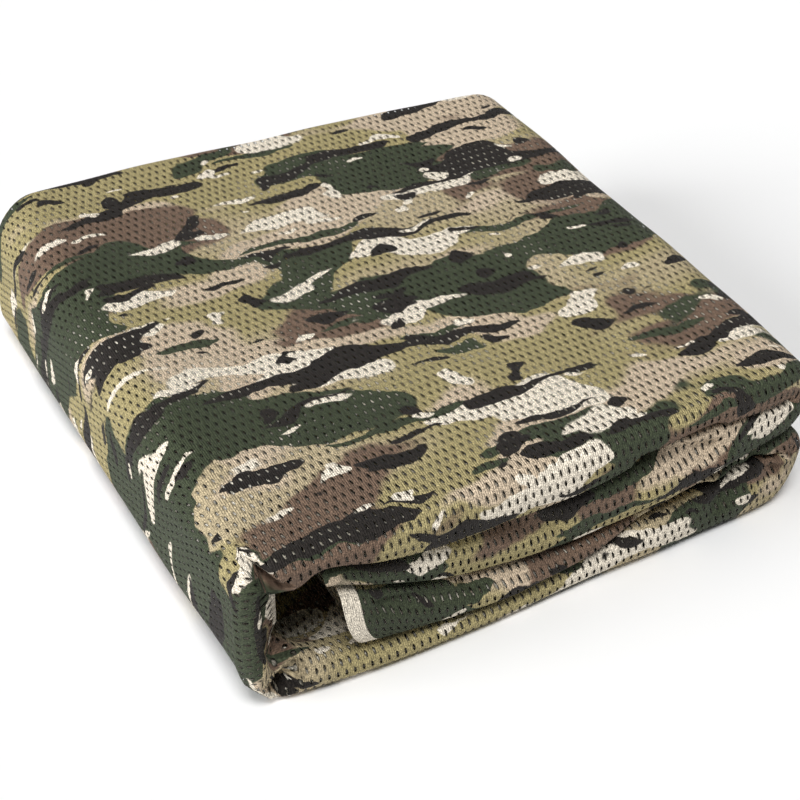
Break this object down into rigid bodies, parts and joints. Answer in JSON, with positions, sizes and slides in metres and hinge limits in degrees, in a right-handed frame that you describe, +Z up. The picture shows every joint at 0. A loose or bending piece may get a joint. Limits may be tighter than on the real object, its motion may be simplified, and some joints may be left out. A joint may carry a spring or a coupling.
{
  "type": "folded camouflage net",
  "caption": "Camouflage net of printed knitted mesh cloth, folded into a flat square pack with a rounded spine and its ends turned inside.",
  "frame": {"origin": "on the surface that the pack lies on, under the middle of its box", "axes": "+X along the front from the spine to the right turns, +Y from the front folds to the back, +Z up"},
  "size_m": [0.3504, 0.3683, 0.094],
  "materials": {
    "mesh_cloth": "matt"
  },
  "bodies": {
    "root": {"folded_cloth": "mesh_cloth"}
  },
  "joints": []
}
